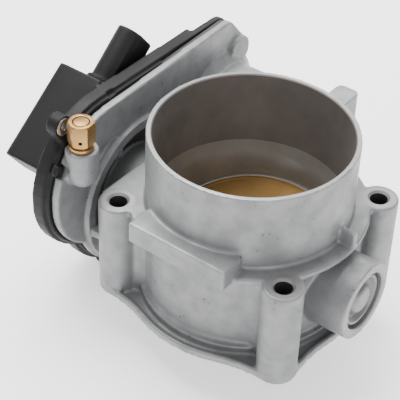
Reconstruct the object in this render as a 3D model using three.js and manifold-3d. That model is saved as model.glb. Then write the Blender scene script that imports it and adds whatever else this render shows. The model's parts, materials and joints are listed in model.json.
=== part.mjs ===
// Electronic throttle body: a cast housing with an inlet tube, a butterfly on a cross shaft, a two-stage gear
// train from a small motor, and a plastic cover with its connector.
// Millimetres, +Z up the air passage. The origin is on the passage axis in the manifold face.
// X runs along the throttle shaft: the gear case is on the -X side, the bearing plug on the +X side.
import * as THREE from "three";
import { mergeVertices } from "three/addons/utils/BufferGeometryUtils.js";
import Module from "manifold-3d";

const wasm = await Module();
wasm.setup();

// ---- Driving dimensions ----
const GAP = 0.3; // clearance between faces of two pieces that meet
const RUN = 0.1; // radial clearance of a running or pressed fit

// Air passage and casting
const THROTTLE_BORE = 75;
const INLET_STEP = 2.5; // how much wider the inlet is, on the radius
const TUBE_WALL = 2.5;
const BODY_HEIGHT = 79.3;
const INLET_STEP_Z = 45;
const STEP_CHAMFER = 2.5;

// Manifold flange
const FLANGE_EDGE = 7.9; // how far the flange stands out from the tube
const FLANGE_FLOOR = 1.3;
const RIM_HEIGHT = 3.5;
const RIM_WIDTH = 2.2;
const RIDGE_HEIGHT = 5;
const RIDGE_WIDTH = 2.5;
const FLANGE_FILLET_R = 60;

// Bolt bosses, on the corners of a rectangle
const BOLT_OFFSET = 10.85; // bolt circle radius less the tube's outer radius
const BOLT_ANGLE = THREE.MathUtils.degToRad(40.3);
const BOSS_R = 8.2;
const BOSS_TOP_Z = 45.5;
const BOLT_HOLE_R = 3.7;
const LEDGE_THICKNESS = 2.5;
const LEDGE_EDGE = 7;

// Throttle shaft and butterfly
const SHAFT_Z = 22.7;
const SHAFT_R = 5;
const PLATE_THICKNESS = 2;
const PLATE_BEVEL = 3.5;
const REST_TILT = THREE.MathUtils.degToRad(9.5);
const PLATE_SCREW_X = 14;
const SCREW_SHANK_R = 1.7;
const SCREW_HEAD_R = 3.2;

// Plug side of the shaft
const PLUG_BOSS_REACH = 16; // beyond the tube
const PLUG_BOSS_R = 16.7;
const PLUG_R = 11.6;
const BEARING_R = 8;
const BEARING_LENGTH = 7.4;
const SEAL_LENGTH = 3;

// Gear case
const CASE_STANDOFF = 20; // from the tube to the joint face of the case and its cover
const CASE_WALL = 3.5;
const CASE_TOP_DROP = 6; // below the inlet rim
const LOBE_R = 33; // upper front lobe
const LOBE_Y = -18;
const SHAFT_LOBE_R = 36;
const RECESS_R = 30;
const RING_R = 34.7;
const RING_HEIGHT = 2;
const NECK_R = 18;
const CORNER_R = 7.5;
const CORNER_RISE = 1.7;

// Motor, its axis parallel to the shaft
const MOTOR_SINK = 2; // how far its circle runs inside the tube's outer circle
const MOTOR_RISE = 11.3; // above the shaft
const MOTOR_R = 17.5;
const MOTOR_LENGTH = 45.5;
const MOTOR_WALL = 3.5;
const MOTOR_SHAFT_R = 1.6;

// Stop screw and motor screws
const STOP_SCREW_R = 1.5;
const STOP_RADIUS = 24; // of the lug's path
const LUG_HALF_DEG = 6;
const MOTOR_SCREW_R = 1.25;
const MOTOR_SCREW_REACH = 3.5; // beyond the motor's can

// Gears
const SECTOR_MODULE = 1;
const SECTOR_SHARE = 0.508; // of the way from the shaft to the motor
const PINION_TEETH = 16;
const WHEEL_MODULE = 0.8;
const MOTOR_TEETH = 14;
const GEAR_BACKLASH = 0.28;
const CLOSED_DEG = 7; // travel from rest to the closed stop
const OPEN_DEG = 78.5; // travel from rest to wide open
const SECTOR_WIDTH = 5;
const WHEEL_WIDTH = 4.2;
const MIDDLE_PIN_R = 2.5;
const MIDDLE_BOSS_R = 4;

// Return spring, on a bush round the sector's hub
const SPRING_R = 11.6;
const SPRING_WIRE_R = 0.55;
const SPRING_TURNS = 4;

// Cover
const COVER_EDGE = 3; // how far the cover's flange stands out from the case
const COVER_BAND = 8; // depth of the flange
const COVER_DEPTH = 21.5; // from the joint face to the outer face
const COVER_WALL = 2.5;
const DOME_R = 16;
const DOME_HEIGHT = 5;
const EAR_R = 4.7;
const COVER_SCREW_R = 1.7;
const COVER_HEAD_R = 4.2;
const COVER_HEAD_HEIGHT = 2.6;
const BUSH_R = 3.9; // steel bush in the cover's spare eye
const BUSH_HOLE_R = 1.7;
const EYE_WALL = 0.9;

// Slanted box and connector on the cover
const BOX_ANGLE = THREE.MathUtils.degToRad(37);
const BOX_LENGTH = 44.8;
const BOX_THICKNESS = 20;
const BOX_REACH = 31.5; // from the joint face
const BOX_CORNER_Y = -45.6;
const BOX_CORNER_DROP = 28.4; // below the inlet rim
const CONNECTOR_ANGLE = THREE.MathUtils.degToRad(40);
const CONNECTOR_REACH = 28.2;
const CONNECTOR_HALF_WIDTH = 6.3;
const CONNECTOR_HALF_LENGTH = 9.8;
const CONNECTOR_WALL = 1.8;
const PIN_SIZE = 1;
const PIN_SPACING = 4;
const PIN_ROW_SPACING = 4.4;

// Brass vent on its cast boss
const VENT_FLATS = 10;
const VENT_TURN = THREE.MathUtils.degToRad(36);
const VENT_BOSS_R = 6.9;
const VENT_Y = -38.1;
const VENT_BOSS_LENGTH = 18.5;
const VENT_BORE_R = 3.2;
const VENT_HEIGHT = 13;
const VENT_CORE_R = 3.1;
const VENT_RING = 0.5; // open ring round the core
const VENT_WAY_R = 1.2;

// ---- Places worked out from them ----
const throttleR = THROTTLE_BORE / 2;
const inletR = throttleR + INLET_STEP;
const tubeR = inletR + TUBE_WALL;
const boltR = tubeR + BOLT_OFFSET;
const boltX = boltR * Math.cos(BOLT_ANGLE);
const boltY = boltR * Math.sin(BOLT_ANGLE);
const bolts = [
  [boltX, boltY],
  [-boltX, boltY],
  [-boltX, -boltY],
  [boltX, -boltY],
];
const plugFaceX = tubeR + PLUG_BOSS_REACH;
const seamX = -(tubeR + CASE_STANDOFF);
const caseTopZ = BODY_HEIGHT - CASE_TOP_DROP;
const wallX = seamX + CASE_WALL;
const ringX = wallX + RING_HEIGHT;
const dishX = seamX - 3.5;
const recessX = dishX + COVER_WALL;
const motor = { y: tubeR + MOTOR_R - MOTOR_SINK, z: SHAFT_Z + MOTOR_RISE };
const coverX = seamX - COVER_DEPTH;
const coverInX = coverX + COVER_WALL;
const bandX = seamX - COVER_BAND;
const boxX = seamX - BOX_REACH;

// Gear positions: the wheel is just large enough to bridge from the sector to the motor
const motorSpan = Math.hypot(motor.y, motor.z - SHAFT_Z);
const sectorTeeth = 2 * Math.round((motorSpan * SECTOR_SHARE) / SECTOR_MODULE); // of a full wheel
const sectorR = (SECTOR_MODULE * sectorTeeth) / 2;
const pinionR = (SECTOR_MODULE * PINION_TEETH) / 2;
const motorGearR = (WHEEL_MODULE * MOTOR_TEETH) / 2;
const firstSpan = sectorR + pinionR;
const wheelTeeth = Math.ceil((2 * (motorSpan * 1.049 - firstSpan - motorGearR)) / WHEEL_MODULE);
const wheelR = (WHEEL_MODULE * wheelTeeth) / 2;
const secondSpan = wheelR + motorGearR;
const lineAngle = Math.atan2(motor.z - SHAFT_Z, motor.y);
const bend = Math.acos((firstSpan ** 2 + motorSpan ** 2 - secondSpan ** 2) / (2 * firstSpan * motorSpan));
const sectorMeshAngle = lineAngle + bend;
const middle = {
  y: firstSpan * Math.cos(sectorMeshAngle),
  z: SHAFT_Z + firstSpan * Math.sin(sectorMeshAngle),
};
const wheelMeshAngle = Math.atan2(motor.z - middle.z, motor.y - middle.y);
const springX = dishX - 0.4;
const springLength = 6.6;
const sectorX = springX - springLength;
const hubEndX = sectorX - SECTOR_WIDTH - 2.5;
const wheelX = dishX - 0.8;

// Case outline in the YZ plane: front lobe and shaft lobe, each run into the motor lobe and the top corner
const lobe = [LOBE_Y, caseTopZ - LOBE_R, LOBE_R];
const shaftLobe = [0, SHAFT_Z, SHAFT_LOBE_R];
const motorLobeR = MOTOR_R + 9;
const motorLobe = [motor.y, motor.z, motorLobeR];
const corner = [motor.y + 4.5, caseTopZ + CORNER_RISE - CORNER_R, CORNER_R];
const cornerBoss = [motor.y + 13.5, caseTopZ - 15.8, 7];
const caseCircles = [lobe, shaftLobe, motorLobe, corner];
const coverCorner = [corner[0], corner[1] - 1.2, CORNER_R - 1.9];
const rimShaftLobe = [0, SHAFT_Z, SHAFT_LOBE_R - 1];
const rimCircles = [lobe, rimShaftLobe, [motor.y, motor.z, motorLobeR - 2.7], coverCorner];
const deepCircles = [
  [0, SHAFT_Z, sectorR + 4.5],
  [motor.y, motor.z, motorLobeR - 2.5],
  [middle.y, middle.z, wheelR + 4.2],
];

// Cover screws: two under the case, and one behind the motor
const coverScrews = [
  { at: aroundLobe(shaftLobe, 3, -1.85), root: aroundLobe(shaftLobe, -8, -1.85) },
  { at: aroundLobe(motorLobe, 4, -1.1), root: aroundLobe(motorLobe, -8, -1.1) },
  { at: aroundLobe(motorLobe, 2.5, -0.4), root: aroundLobe(motorLobe, -8, -0.4) },
];

// Spare eye of the cover, close behind the vent
const eyeAt = aroundLobe(lobe, 9, 2.156);
const eyeRoot = aroundLobe(lobe, -6, 2.156);

function aroundLobe([y, z, r], beyond, angle) {
  return [y + (r + beyond) * Math.cos(angle), z + (r + beyond) * Math.sin(angle)];
}

// Slanted frames in the YZ plane: along the length, and down through the thickness, from a top corner
function slanted(angle, [y, z]) {
  const along = new THREE.Vector3(0, Math.cos(angle), Math.sin(angle));
  const down = new THREE.Vector3(0, Math.sin(angle), -Math.cos(angle));
  const at = (u, v) => [y + u * along.y + v * down.y, z + u * along.z + v * down.z];
  return { along, down, at };
}

const connectorX = boxX + 13.6;
const connectorDown = BOX_THICKNESS;
const mouthAlong = BOX_LENGTH + CONNECTOR_REACH;
const boxFrame = slanted(BOX_ANGLE, [BOX_CORNER_Y, BODY_HEIGHT - BOX_CORNER_DROP]);
const mouthAt = boxFrame.at(mouthAlong, connectorDown);
const plugCorner = slanted(CONNECTOR_ANGLE, mouthAt).at(-mouthAlong, -connectorDown);
const plugFrame = slanted(CONNECTOR_ANGLE, plugCorner);

// ---- Shapes and booleans ----
function solid(geometry) {
  const bare = geometry.index ? geometry.toNonIndexed() : geometry.clone();
  bare.deleteAttribute("normal");
  bare.deleteAttribute("uv");
  const merged = mergeVertices(bare, 1e-4);
  return new wasm.Manifold(
    new wasm.Mesh({
      numProp: 3,
      vertProperties: new Float32Array(merged.attributes.position.array),
      triVerts: new Uint32Array(merged.index.array),
    }),
  );
}

function geometryOf(body) {
  const mesh = body.getMesh();
  const geometry = new THREE.BufferGeometry();
  geometry.setAttribute("position", new THREE.BufferAttribute(mesh.vertProperties, 3));
  geometry.setIndex(new THREE.BufferAttribute(mesh.triVerts, 1));
  geometry.computeVertexNormals();
  return geometry;
}

function join(...bodies) {
  return bodies.reduce((whole, body) => whole.add(body));
}

function cut(body, ...tools) {
  return tools.reduce((rest, tool) => rest.subtract(tool), body);
}

const toX = new THREE.Matrix4().makeBasis(
  new THREE.Vector3(0, 1, 0),
  new THREE.Vector3(0, 0, 1),
  new THREE.Vector3(1, 0, 0),
);

// A flat outline given as points or as a shape
function outline(points, holes = []) {
  const shape = new THREE.Shape(points.map(([a, b]) => new THREE.Vector2(a, b)));
  shape.holes = holes.map((hole) => new THREE.Path(hole.map(([a, b]) => new THREE.Vector2(a, b))));
  return shape;
}

function extruded(shape, depth) {
  return new THREE.ExtrudeGeometry(shape, { depth, bevelEnabled: false, curveSegments: 14 });
}

// Prism of a YZ outline between two x values
function prismX(shape, x0, x1) {
  return solid(extruded(shape, x1 - x0).applyMatrix4(toX).translate(x0, 0, 0));
}

// Prism of an XY outline between two z values
function prismZ(shape, z0, z1) {
  return solid(extruded(shape, z1 - z0).translate(0, 0, z0));
}

// Prism of an outline across a slanted frame, along its length
function prismAlong(frame, shape, u0, u1) {
  const basis = new THREE.Matrix4().makeBasis(new THREE.Vector3(1, 0, 0), frame.down, frame.along);
  const start = frame.at(u0, 0);
  return solid(extruded(shape, u1 - u0).applyMatrix4(basis).translate(0, ...start));
}

function circlePoints(a, b, r, steps = 24, start = 0) {
  return Array.from({ length: steps }, (_, i) => {
    const t = start + (2 * Math.PI * i) / steps;
    return [a + r * Math.cos(t), b + r * Math.sin(t)];
  });
}

function cylinderX(r, x0, x1, y = 0, z = 0, steps = 24) {
  return prismX(outline(circlePoints(y, z, r, steps)), x0, x1);
}

function cylinderZ(r, z0, z1, x = 0, y = 0, steps = 24) {
  return prismZ(outline(circlePoints(x, y, r, steps)), z0, z1);
}

function block([x0, y0, z0], [x1, y1, z1]) {
  return solid(
    new THREE.BoxGeometry(x1 - x0, y1 - y0, z1 - z0).translate((x0 + x1) / 2, (y0 + y1) / 2, (z0 + z1) / 2),
  );
}

// Turned shapes: a profile of [radius, height] from the low end of the axis to the high end
const latheToX = new THREE.Matrix4().makeBasis(
  new THREE.Vector3(0, 0, 1),
  new THREE.Vector3(1, 0, 0),
  new THREE.Vector3(0, 1, 0),
);

function turned(profile, steps) {
  return new THREE.LatheGeometry(
    profile.map(([r, h]) => new THREE.Vector2(r, h)),
    steps,
  );
}

function turnedX(profile, y = 0, z = 0, steps = 24) {
  return solid(turned(profile, steps).applyMatrix4(latheToX).translate(0, y, z));
}

function turnedZ(profile, x = 0, y = 0, steps = 24) {
  return solid(turned(profile, steps).rotateX(Math.PI / 2).translate(x, y, 0));
}

// A ring's closed profile between two radii
function ringProfile(inner, outer, low, high) {
  return [
    [inner, low],
    [outer, low],
    [outer, high],
    [inner, high],
    [inner, low],
  ];
}

function convexHull(points) {
  const sorted = [...points].sort((p, q) => p[0] - q[0] || p[1] - q[1]);
  const turn = (o, p, q) => (p[0] - o[0]) * (q[1] - o[1]) - (p[1] - o[1]) * (q[0] - o[0]);
  const chain = (list) => {
    const kept = [];
    for (const point of list) {
      while (kept.length > 1 && turn(kept.at(-2), kept.at(-1), point) <= 1e-9) kept.pop();
      kept.push(point);
    }
    return kept.slice(0, -1);
  };
  return [...chain(sorted), ...chain(sorted.reverse())];
}

function hullOfCircles(circles, grow = 0, steps = 28) {
  return convexHull(circles.flatMap(([a, b, r]) => circlePoints(a, b, r + grow, steps)));
}

// A prism of the case outline: both lobes run into the rest, grown or shrunk
function lobedPrism([front, middleLobe, ...rest], grow, x0, x1) {
  return join(
    prismX(outline(hullOfCircles([front, ...rest], grow, 44)), x0, x1),
    prismX(outline(hullOfCircles([middleLobe, ...rest], grow, 44)), x0, x1),
  );
}

// ---- Gears ----
// One involute tooth on the angle 0, from its trailing root to its leading root, as [radius, angle]
function tooth(teeth, module) {
  const pressure = THREE.MathUtils.degToRad(20);
  const pitchR = (module * teeth) / 2;
  const baseR = pitchR * Math.cos(pressure);
  const rootR = pitchR - 1.25 * module;
  const tipR = pitchR + 0.85 * module;
  const involute = (angle) => Math.tan(angle) - angle;
  const halfAtPitch = Math.PI / (2 * teeth) - GEAR_BACKLASH / (4 * pitchR);
  const halfAt = (r) => halfAtPitch + involute(pressure) - involute(Math.acos(Math.min(1, baseR / r)));
  const startR = Math.max(baseR, rootR);
  const radii = [0, 0.5, 1].map((t) => startR + t * (tipR - startR));
  const rise = radii.map((r) => [r, -halfAt(r)]);
  if (rootR < startR) rise.unshift([rootR, -halfAt(startR)]);
  return [...rise, ...rise.map(([r, angle]) => [r, -angle]).reverse()];
}

function toothRow(teeth, module, count, firstAngle, y, z) {
  const pitch = (2 * Math.PI) / teeth;
  const form = tooth(teeth, module);
  return Array.from({ length: count }, (_, i) => i).flatMap((i) =>
    form.map(([r, angle]) => {
      const t = firstAngle + i * pitch + angle;
      return [y + r * Math.cos(t), z + r * Math.sin(t)];
    }),
  );
}

// ---- Materials ----
const metal = (color, roughness) => new THREE.MeshStandardMaterial({ color, roughness, metalness: 1 });
const plastic = (color, roughness) => new THREE.MeshStandardMaterial({ color, roughness, metalness: 0 });
const castAluminium = metal(0xb4b5b6, 0.55);
const steel = metal(0xa9abae, 0.35);
const brass = metal(0xc79a55, 0.3);
const plateBrass = metal(0x9a7034, 0.35);
const blackPlastic = plastic(0x2b2c2e, 0.55);
const gearPlastic = plastic(0xd8d2c0, 0.5);
const rubber = plastic(0x1c1c1d, 0.8);
const board = plastic(0x1f4d33, 0.6);
const magnet = metal(0x4a4b4d, 0.5);
const copper = metal(0xb06a3c, 0.4);

const throttleBody = new THREE.Group();

function part(name, body, material, parent = throttleBody) {
  const mesh = new THREE.Mesh(geometryOf(body), material);
  mesh.name = name;
  parent.add(mesh);
}

// ---- Housing ----
// Web from a disc on the axis out to a bolt boss, its sides hollow fillets tangent to both
function webPoints([x, y], discR, bossR, filletR) {
  const toBolt = Math.atan2(y, x);
  const reach = discR + filletR;
  const swing = Math.acos((reach ** 2 + boltR ** 2 - (bossR + filletR) ** 2) / (2 * reach * boltR));
  const side = (sign) => {
    const cx = reach * Math.cos(toBolt + sign * swing);
    const cy = reach * Math.sin(toBolt + sign * swing);
    const fromDisc = Math.atan2(-cy, -cx);
    const toBoss = Math.atan2(y - cy, x - cx);
    const sweep = Math.atan2(Math.sin(toBoss - fromDisc), Math.cos(toBoss - fromDisc));
    return Array.from({ length: 5 }, (_, i) => {
      const t = fromDisc + (sweep * i) / 4;
      return [cx + filletR * Math.cos(t), cy + filletR * Math.sin(t)];
    });
  };
  return [[0, 0], ...side(-1), ...side(1).reverse()];
}

// Disc and four bosses run together, as used for the manifold flange
function flangePrism(grow, z0, z1) {
  const discR = tubeR + FLANGE_EDGE + grow;
  const pieces = bolts.map((at) =>
    join(
      prismZ(outline(webPoints(at, discR, BOSS_R + grow, FLANGE_FILLET_R - grow)), z0, z1),
      cylinderZ(BOSS_R + grow, z0, z1, ...at),
    ),
  );
  return join(cylinderZ(discR, z0, z1, 0, 0, 48), ...pieces);
}

function earPrism({ at, root }, r, x0, x1) {
  return prismX(outline(hullOfCircles([[...at, r], [...root, r]], 0, 24)), x0, x1);
}

const motorPocketR = MOTOR_R + 1;
const motorBodyR = motorPocketR + MOTOR_WALL;
const motorFloorX = seamX + MOTOR_LENGTH + 4;
const ventX = wallX + 2.5;
const hexR = VENT_FLATS / Math.sqrt(3);
const ventTopZ = lobe[1] + Math.sqrt(lobe[2] ** 2 - (VENT_Y - lobe[0]) ** 2);
const bearingSeatR = BEARING_R + GAP;
const plugSeatX = plugFaceX - 7.5;
const gearBearingR = 9.5;
const gearBearingX = dishX + 9;
const stopAngle = THREE.MathUtils.degToRad(115);
const stopAt = [STOP_RADIUS * Math.cos(stopAngle), SHAFT_Z + STOP_RADIUS * Math.sin(stopAngle)];
const lugDeg = 115 + CLOSED_DEG + THREE.MathUtils.radToDeg((STOP_SCREW_R + 0.4) / STOP_RADIUS) + LUG_HALF_DEG;
const openStopDeg = lugDeg + OPEN_DEG + LUG_HALF_DEG + THREE.MathUtils.radToDeg(3.4 / STOP_RADIUS);
const openStop = [
  STOP_RADIUS * Math.cos(THREE.MathUtils.degToRad(openStopDeg)),
  SHAFT_Z + STOP_RADIUS * Math.sin(THREE.MathUtils.degToRad(openStopDeg)),
];
const motorScrewR = MOTOR_R + MOTOR_SCREW_REACH;
const motorScrews = [130, -130].map((degrees) => {
  const t = THREE.MathUtils.degToRad(degrees);
  return [motor.y + motorScrewR * Math.cos(t), motor.z + motorScrewR * Math.sin(t)];
});
const motorPlateX = seamX - GAP;
const snapAngle = 2.61;

// Snap window, a slot across the rim of the front lobe
function snapBlock(halfWidth, rIn, rOut, x0, x1) {
  const corner = (r, side) => {
    const along = side * halfWidth;
    return [
      lobe[0] + r * Math.cos(snapAngle) - along * Math.sin(snapAngle),
      lobe[1] + r * Math.sin(snapAngle) + along * Math.cos(snapAngle),
    ];
  };
  return prismX(outline([corner(rIn, -1), corner(rOut, -1), corner(rOut, 1), corner(rIn, 1)]), x0, x1);
}

const bossesAndTube = join(
  cylinderZ(tubeR, 0, BODY_HEIGHT, 0, 0, 48),
  cylinderZ(tubeR + RIDGE_WIDTH, 0, RIDGE_HEIGHT, 0, 0, 48),
  cut(flangePrism(0, 0, RIM_HEIGHT), flangePrism(-RIM_WIDTH, FLANGE_FLOOR, RIM_HEIGHT + 1)),
  ...bolts.map((at) => cylinderZ(BOSS_R, 0, BOSS_TOP_Z, ...at)),
  ...bolts.map((at) => prismZ(outline(webPoints(at, tubeR, BOSS_R - 2.2, 9)), 0.5, BOSS_TOP_Z - 0.5)),
);

const rimEarCorners = [9, 14].flatMap((x) => [tubeR - 2, tubeR + 7.5].map((y) => [x, y, 2.5]));
const ledge = join(
  cylinderZ(tubeR + LEDGE_EDGE, BOSS_TOP_Z - LEDGE_THICKNESS, BOSS_TOP_Z, 0, 0, 48),
  block([-boltX - BOSS_R - 0.5, -boltY, BOSS_TOP_Z - LEDGE_THICKNESS], [0, boltY, BOSS_TOP_Z]),
  block(
    [-23.2, -tubeR - LEDGE_EDGE, BOSS_TOP_Z - LEDGE_THICKNESS],
    [23.2, -throttleR, BOSS_TOP_Z + LEDGE_EDGE],
  ),
  block([throttleR + 3.5, 0.5, BOSS_TOP_Z - 1], [tubeR + LEDGE_EDGE, 3.5, BOSS_TOP_Z + 6.5]),
  prismZ(outline(hullOfCircles(rimEarCorners, 0, 12)), BODY_HEIGHT - 17, BODY_HEIGHT - 1.8),
);

const gearCase = join(
  lobedPrism(caseCircles, 0, seamX, wallX),
  prismX(outline(hullOfCircles([corner, cornerBoss], 0, 24)), seamX, wallX),
  cylinderX(RING_R, seamX, ringX, 0, SHAFT_Z, 40),
  cylinderX(RECESS_R + 2, dishX, wallX, 0, SHAFT_Z, 36),
  cylinderX(MIDDLE_BOSS_R, dishX - 0.3, wallX, middle.y, middle.z),
  cylinderX(3, dishX - 4, wallX - 2, ...openStop, 20),
  ...coverScrews.map((screw) => earPrism(screw, EAR_R, seamX, wallX)),
  cylinderX(cornerBoss[2], seamX, wallX + 2, cornerBoss[0], cornerBoss[1]),
);

const motorBody = turnedX(
  [
    [0, wallX - 1],
    [motorLobeR, wallX - 1],
    [motorLobeR, wallX],
    [motorBodyR, wallX + 4],
    [motorBodyR, motorFloorX + 1.5],
    [motorBodyR - 1.5, motorFloorX + 3],
    [0, motorFloorX + 3],
  ],
  motor.y,
  motor.z,
);

const ventBottomZ = ventTopZ - VENT_BOSS_LENGTH;
const ventBall = Array.from({ length: 5 }, (_, i) => {
  const t = (Math.PI / 2) * (i / 4);
  return [VENT_BOSS_R * Math.sin(t), ventBottomZ + VENT_BOSS_R * (1 - Math.cos(t))];
});
const ventBoss = cut(
  turnedZ([...ventBall, [VENT_BOSS_R, ventTopZ], [0, ventTopZ]], ventX, VENT_Y),
  block([seamX - 20, -80, 0], [seamX + 0.1, 0, 90]),
);

const neck = join(
  cylinderX(NECK_R, dishX + 1, -throttleR, 0, SHAFT_Z, 36),
  block([wallX - 1, -boltY + 1.5, 16], [-boltX, -boltY + 7.5, 20]),
);

// Everything cut out of the casting
const passage = turnedZ(
  [
    [0, -1],
    [throttleR, -1],
    [throttleR, INLET_STEP_Z - STEP_CHAMFER],
    [inletR, INLET_STEP_Z],
    [inletR, BODY_HEIGHT + 1],
    [0, BODY_HEIGHT + 1],
  ],
  0,
  0,
  48,
);
const shaftWay = turnedX(
  [
    [0, dishX - 1],
    [gearBearingR + GAP, dishX - 1],
    [gearBearingR + GAP, gearBearingX],
    [bearingSeatR, gearBearingX],
    [bearingSeatR, -tubeR + 3],
    [SHAFT_R + GAP, -tubeR + 3],
    [SHAFT_R + GAP, tubeR - 3],
    [bearingSeatR, tubeR - 3],
    [bearingSeatR, plugSeatX],
    [PLUG_R, plugSeatX],
    [PLUG_R, plugFaceX - 3],
    [PLUG_R + 0.9, plugFaceX - 3],
    [PLUG_R + 0.9, plugFaceX + 1],
    [0, plugFaceX + 1],
  ],
  0,
  SHAFT_Z,
  24,
);
const recess = turnedX(ringProfile(NECK_R, RECESS_R, recessX, ringX + 1), 0, SHAFT_Z, 36);
const shadedPocket = cut(
  prismX(
    outline([
      [LOBE_Y - 10.5, caseTopZ - 16.5],
      [LOBE_Y + 12, caseTopZ - 16.5],
      [LOBE_Y + 12, caseTopZ - 30],
      [LOBE_Y - 10.5, caseTopZ - 30],
    ]),
    wallX - 2,
    wallX + 1,
  ),
  cylinderX(RING_R + 0.6, wallX - 3, wallX + 2, 0, SHAFT_Z, 40),
);
const holes = [
  ...bolts.map((at) => cylinderZ(BOLT_HOLE_R, -1, BOSS_TOP_Z + 1, ...at)),
  ...bolts.map((at) => cylinderZ(BOSS_R - 1, BOSS_TOP_Z, BOSS_TOP_Z + 20, ...at)),
  ...coverScrews.map(({ at }) => cylinderX(COVER_SCREW_R + GAP, seamX - 1, wallX + 1, ...at)),
  ...motorScrews.map((at) => cylinderX(MOTOR_SCREW_R + GAP, seamX - 1, seamX + 6, ...at, 20)),
  cylinderX(motorPocketR, seamX - 1, motorFloorX, motor.y, motor.z),
  cylinderX(MIDDLE_PIN_R + GAP, dishX - 1, seamX + 2.3, middle.y, middle.z),
  cylinderX(STOP_SCREW_R + GAP, dishX - 1, recessX + 1, ...stopAt, 20),
  cylinderZ(VENT_BORE_R, ventTopZ - 9, ventTopZ + 1, ventX, VENT_Y),
  snapBlock(2.8, lobe[2] - 2.4, lobe[2] + 3, seamX - 1, wallX + 1),
  block(
    [seamX - 1, VENT_Y - hexR - 2 * GAP, ventTopZ],
    [ventX, VENT_Y + hexR + 2 * GAP, ventTopZ + VENT_HEIGHT],
  ),
  ...coverScrews.map(({ at }) => cylinderX(COVER_HEAD_R + GAP, wallX, wallX + 8, ...at)),
];

const plugBoss = cylinderX(PLUG_BOSS_R, throttleR - 2, plugFaceX, 0, SHAFT_Z, 36);
const housing = cut(
  join(bossesAndTube, ledge, gearCase, motorBody, ventBoss, neck, plugBoss),
  passage,
  shaftWay,
  recess,
  shadedPocket,
  ...holes,
);
part("housing", housing, castAluminium);

// ---- Throttle shaft, butterfly and its two screws ----
const tilt = new THREE.Matrix4()
  .makeTranslation(0, 0, SHAFT_Z)
  .multiply(new THREE.Matrix4().makeRotationX(REST_TILT));

function tilted(body) {
  return solid(geometryOf(body).applyMatrix4(tilt));
}

const throttle = new THREE.Group();
throttle.name = "throttle";
throttleBody.add(throttle);

const plateR = throttleR - 0.15;
const slotHalf = PLATE_THICKNESS / 2 + GAP;
const headSeat = slotHalf + 2.2;
const shaftEndX = sectorX - SECTOR_WIDTH + 0.5;
const plateScrewXs = [-PLATE_SCREW_X, PLATE_SCREW_X];
const screwHoles = plateScrewXs.map((x) => cylinderZ(SCREW_SHANK_R + GAP, -SHAFT_R - 1, SHAFT_R + 1, x, 0));
const shaft = cut(
  turnedX(
    [
      [0, shaftEndX],
      [SHAFT_R - 0.5, shaftEndX],
      [SHAFT_R, shaftEndX + 0.5],
      [SHAFT_R, plugSeatX],
      [SHAFT_R - 0.5, plugSeatX + 0.5],
      [0, plugSeatX + 0.5],
    ],
    0,
    0,
    32,
  ),
  block([-plateR - GAP, -SHAFT_R - 1, -slotHalf], [plateR + GAP, SHAFT_R + 1, slotHalf]),
  ...screwHoles,
  ...plateScrewXs.map((x) => cylinderZ(SCREW_HEAD_R + GAP, headSeat, SHAFT_R + 1, x, 0)),
  block([shaftEndX - 1, SHAFT_R - 1, -SHAFT_R - 1], [sectorX + 0.5, SHAFT_R + 1, SHAFT_R + 1]),
);
part("throttle_shaft", tilted(shaft), steel, throttle);

const half = PLATE_THICKNESS / 2;
const bevelR = plateR - PLATE_BEVEL * 0.2;
const butterfly = cut(
  turnedZ(
    [
      [0, -half],
      [bevelR, -half],
      [plateR, -half * 0.2],
      [plateR, half * 0.2],
      [bevelR, half],
      [0, half],
    ],
    0,
    0,
    48,
  ),
  ...screwHoles,
);
part("throttle_plate", tilted(butterfly), plateBrass, throttle);

plateScrewXs.forEach((x, i) => {
  const screw = cut(
    turnedZ(
      [
        [0, -SHAFT_R + 0.4],
        [SCREW_SHANK_R, -SHAFT_R + 0.4],
        [SCREW_SHANK_R, headSeat + GAP],
        [SCREW_HEAD_R, headSeat + GAP],
        [SCREW_HEAD_R, headSeat + GAP + 1.1],
        [SCREW_HEAD_R - 0.9, headSeat + GAP + 1.7],
        [0, headSeat + GAP + 1.8],
      ],
      x,
      0,
    ),
    block([x - 0.5, -2.1, headSeat + GAP + 0.7], [x + 0.5, 2.1, headSeat + 4]),
    block([x - 2.1, -0.5, headSeat + GAP + 0.7], [x + 2.1, 0.5, headSeat + 4]),
  );
  part(`plate_screw_${i + 1}`, tilted(screw), steel, throttle);
});

// ---- Bearings, seals and plug ----
function ringAt(name, inner, outer, x0, x1, [y, z], material) {
  part(name, turnedX(ringProfile(inner, outer, x0, x1), y, z), material);
}

function ringPart(name, inner, outer, x0, x1, material) {
  ringAt(name, inner, outer, x0, x1, [0, SHAFT_Z], material);
}

ringPart("shaft_seal_1", SHAFT_R + 0.15, BEARING_R, tubeR - 3 + GAP, tubeR - 3 + GAP + SEAL_LENGTH, rubber);
const plugBearingX = plugSeatX - GAP;
ringPart("plug_side_bearing", SHAFT_R + RUN, BEARING_R, plugBearingX - BEARING_LENGTH, plugBearingX, steel);
ringPart("shaft_seal_2", SHAFT_R + 0.15, BEARING_R, -tubeR + 3 - GAP - SEAL_LENGTH, -tubeR + 3 - GAP, rubber);
ringPart("gear_side_bearing", SHAFT_R + RUN, gearBearingR, dishX + GAP, gearBearingX - GAP, steel);

const plugInX = plugSeatX + 1.7;
const plugOutX = plugFaceX - 3.3;
part(
  "bearing_plug",
  turnedX(
    [
      [0, plugInX],
      [PLUG_R - GAP, plugInX],
      [PLUG_R - GAP, plugOutX],
      [PLUG_R - 1.6, plugOutX],
      [PLUG_R - 2.4, plugOutX - 0.9],
      [4, plugOutX - 1.3],
      [0, plugOutX - 1.3],
    ],
    0,
    SHAFT_Z,
    36,
  ),
  steel,
);

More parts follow.
